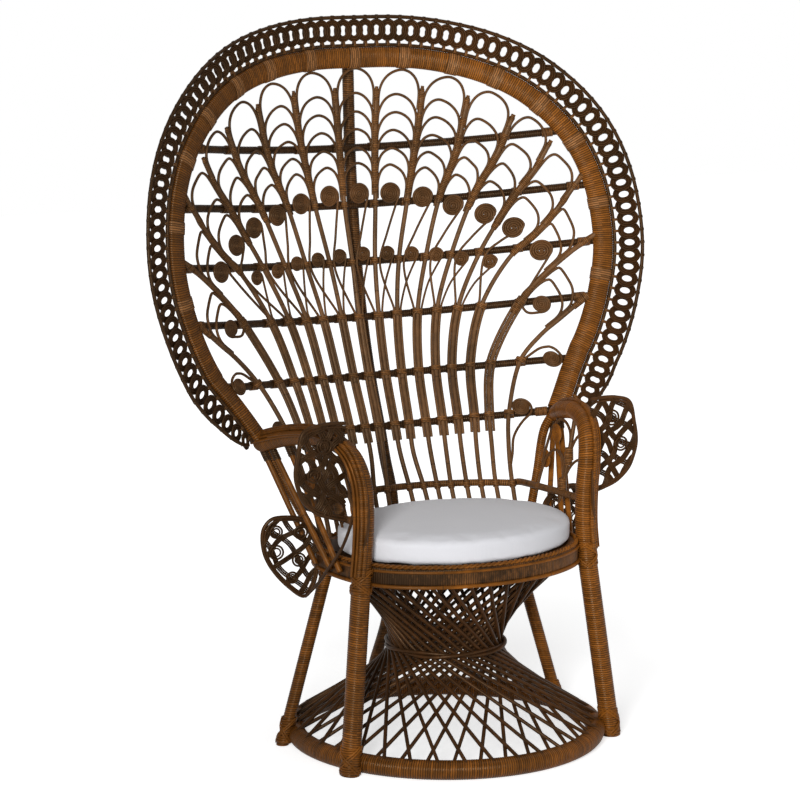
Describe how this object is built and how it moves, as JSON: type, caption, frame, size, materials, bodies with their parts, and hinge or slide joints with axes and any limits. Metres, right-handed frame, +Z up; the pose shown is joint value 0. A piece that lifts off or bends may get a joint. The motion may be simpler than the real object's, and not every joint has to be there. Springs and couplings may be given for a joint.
{
  "type": "peacock chair",
  "caption": "Rattan armchair with a tall woven fan back of arches and scrolls, rolled arms, an hourglass base of crossing reeds and a loose seat cushion.",
  "frame": {"origin": "middle of the floor print of the whole chair", "axes": "+X to the sitter's left, seen from the front it points right; the front faces -Y; +Z up"},
  "size_m": [1.1566, 0.7718, 1.4598],
  "materials": {
    "wrapped_cane": "varnished wrapped strips",
    "bare_cane": "semi-matt varnish",
    "dark_cane": "semi-matt dark stain",
    "split_reed": "semi-matt stain",
    "cushion_cloth": "woven cotton"
  },
  "bodies": {
    "chair": {"floor_hoop": "wrapped_cane", "seat_ring": "wrapped_cane", "front_post_right": "wrapped_cane", "front_post_left": "wrapped_cane", "side_leg_right": "wrapped_cane", "side_leg_left": "wrapped_cane", "back_rim": "wrapped_cane", "arm_right": "wrapped_cane", "arm_left": "wrapped_cane", "arm_post_right": "wrapped_cane", "arm_post_left": "wrapped_cane", "outer_reeds": "split_reed", "inner_reeds": "split_reed", "seat_panel": "split_reed", "back_pole": "dark_cane", "border_inner_rod": "dark_cane", "border_strand_front": "dark_cane", "border_strand_back": "dark_cane", "border_outer_rod": "dark_cane", "waist_rail": "dark_cane", "rail_1": "dark_cane", "rail_2": "dark_cane", "rail_3": "dark_cane", "rail_4": "dark_cane", "rail_5": "dark_cane", "rail_6": "dark_cane", "upper_wing_right": "dark_cane", "upper_wing_left": "dark_cane", "lower_wing_right": "dark_cane", "lower_wing_left": "dark_cane", "rib_right_1": "bare_cane", "rib_left_1": "bare_cane", "rib_right_2": "bare_cane", "rib_left_2": "bare_cane", "rib_right_3": "bare_cane", "rib_left_3": "bare_cane", "rib_right_4": "bare_cane", "rib_left_4": "bare_cane", "rib_right_5": "bare_cane", "rib_left_5": "bare_cane", "rib_right_6": "bare_cane", "rib_left_6": "bare_cane", "rib_right_7": "bare_cane", "rib_left_7": "bare_cane", "rib_right_8": "bare_cane", "rib_left_8": "bare_cane", "scroll_right_0": "bare_cane", "scroll_right_1": "bare_cane", "scroll_right_2": "bare_cane", "scroll_right_3": "bare_cane", "scroll_right_4": "bare_cane", "scroll_right_5": "bare_cane", "scroll_right_6": "bare_cane", "scroll_left_1": "bare_cane", "scroll_left_2": "bare_cane", "scroll_left_3": "bare_cane", "scroll_left_4": "bare_cane", "scroll_left_5": "bare_cane", "scroll_left_6": "bare_cane"},
    "cushion": {"cushion": "cushion_cloth"}
  },
  "joints": [
    {"name": "cushion_lift", "type": "slide", "parent": "chair", "child": "cushion", "axis": [0, 0, 1], "range_m": [0, 0.3]}
  ]
}
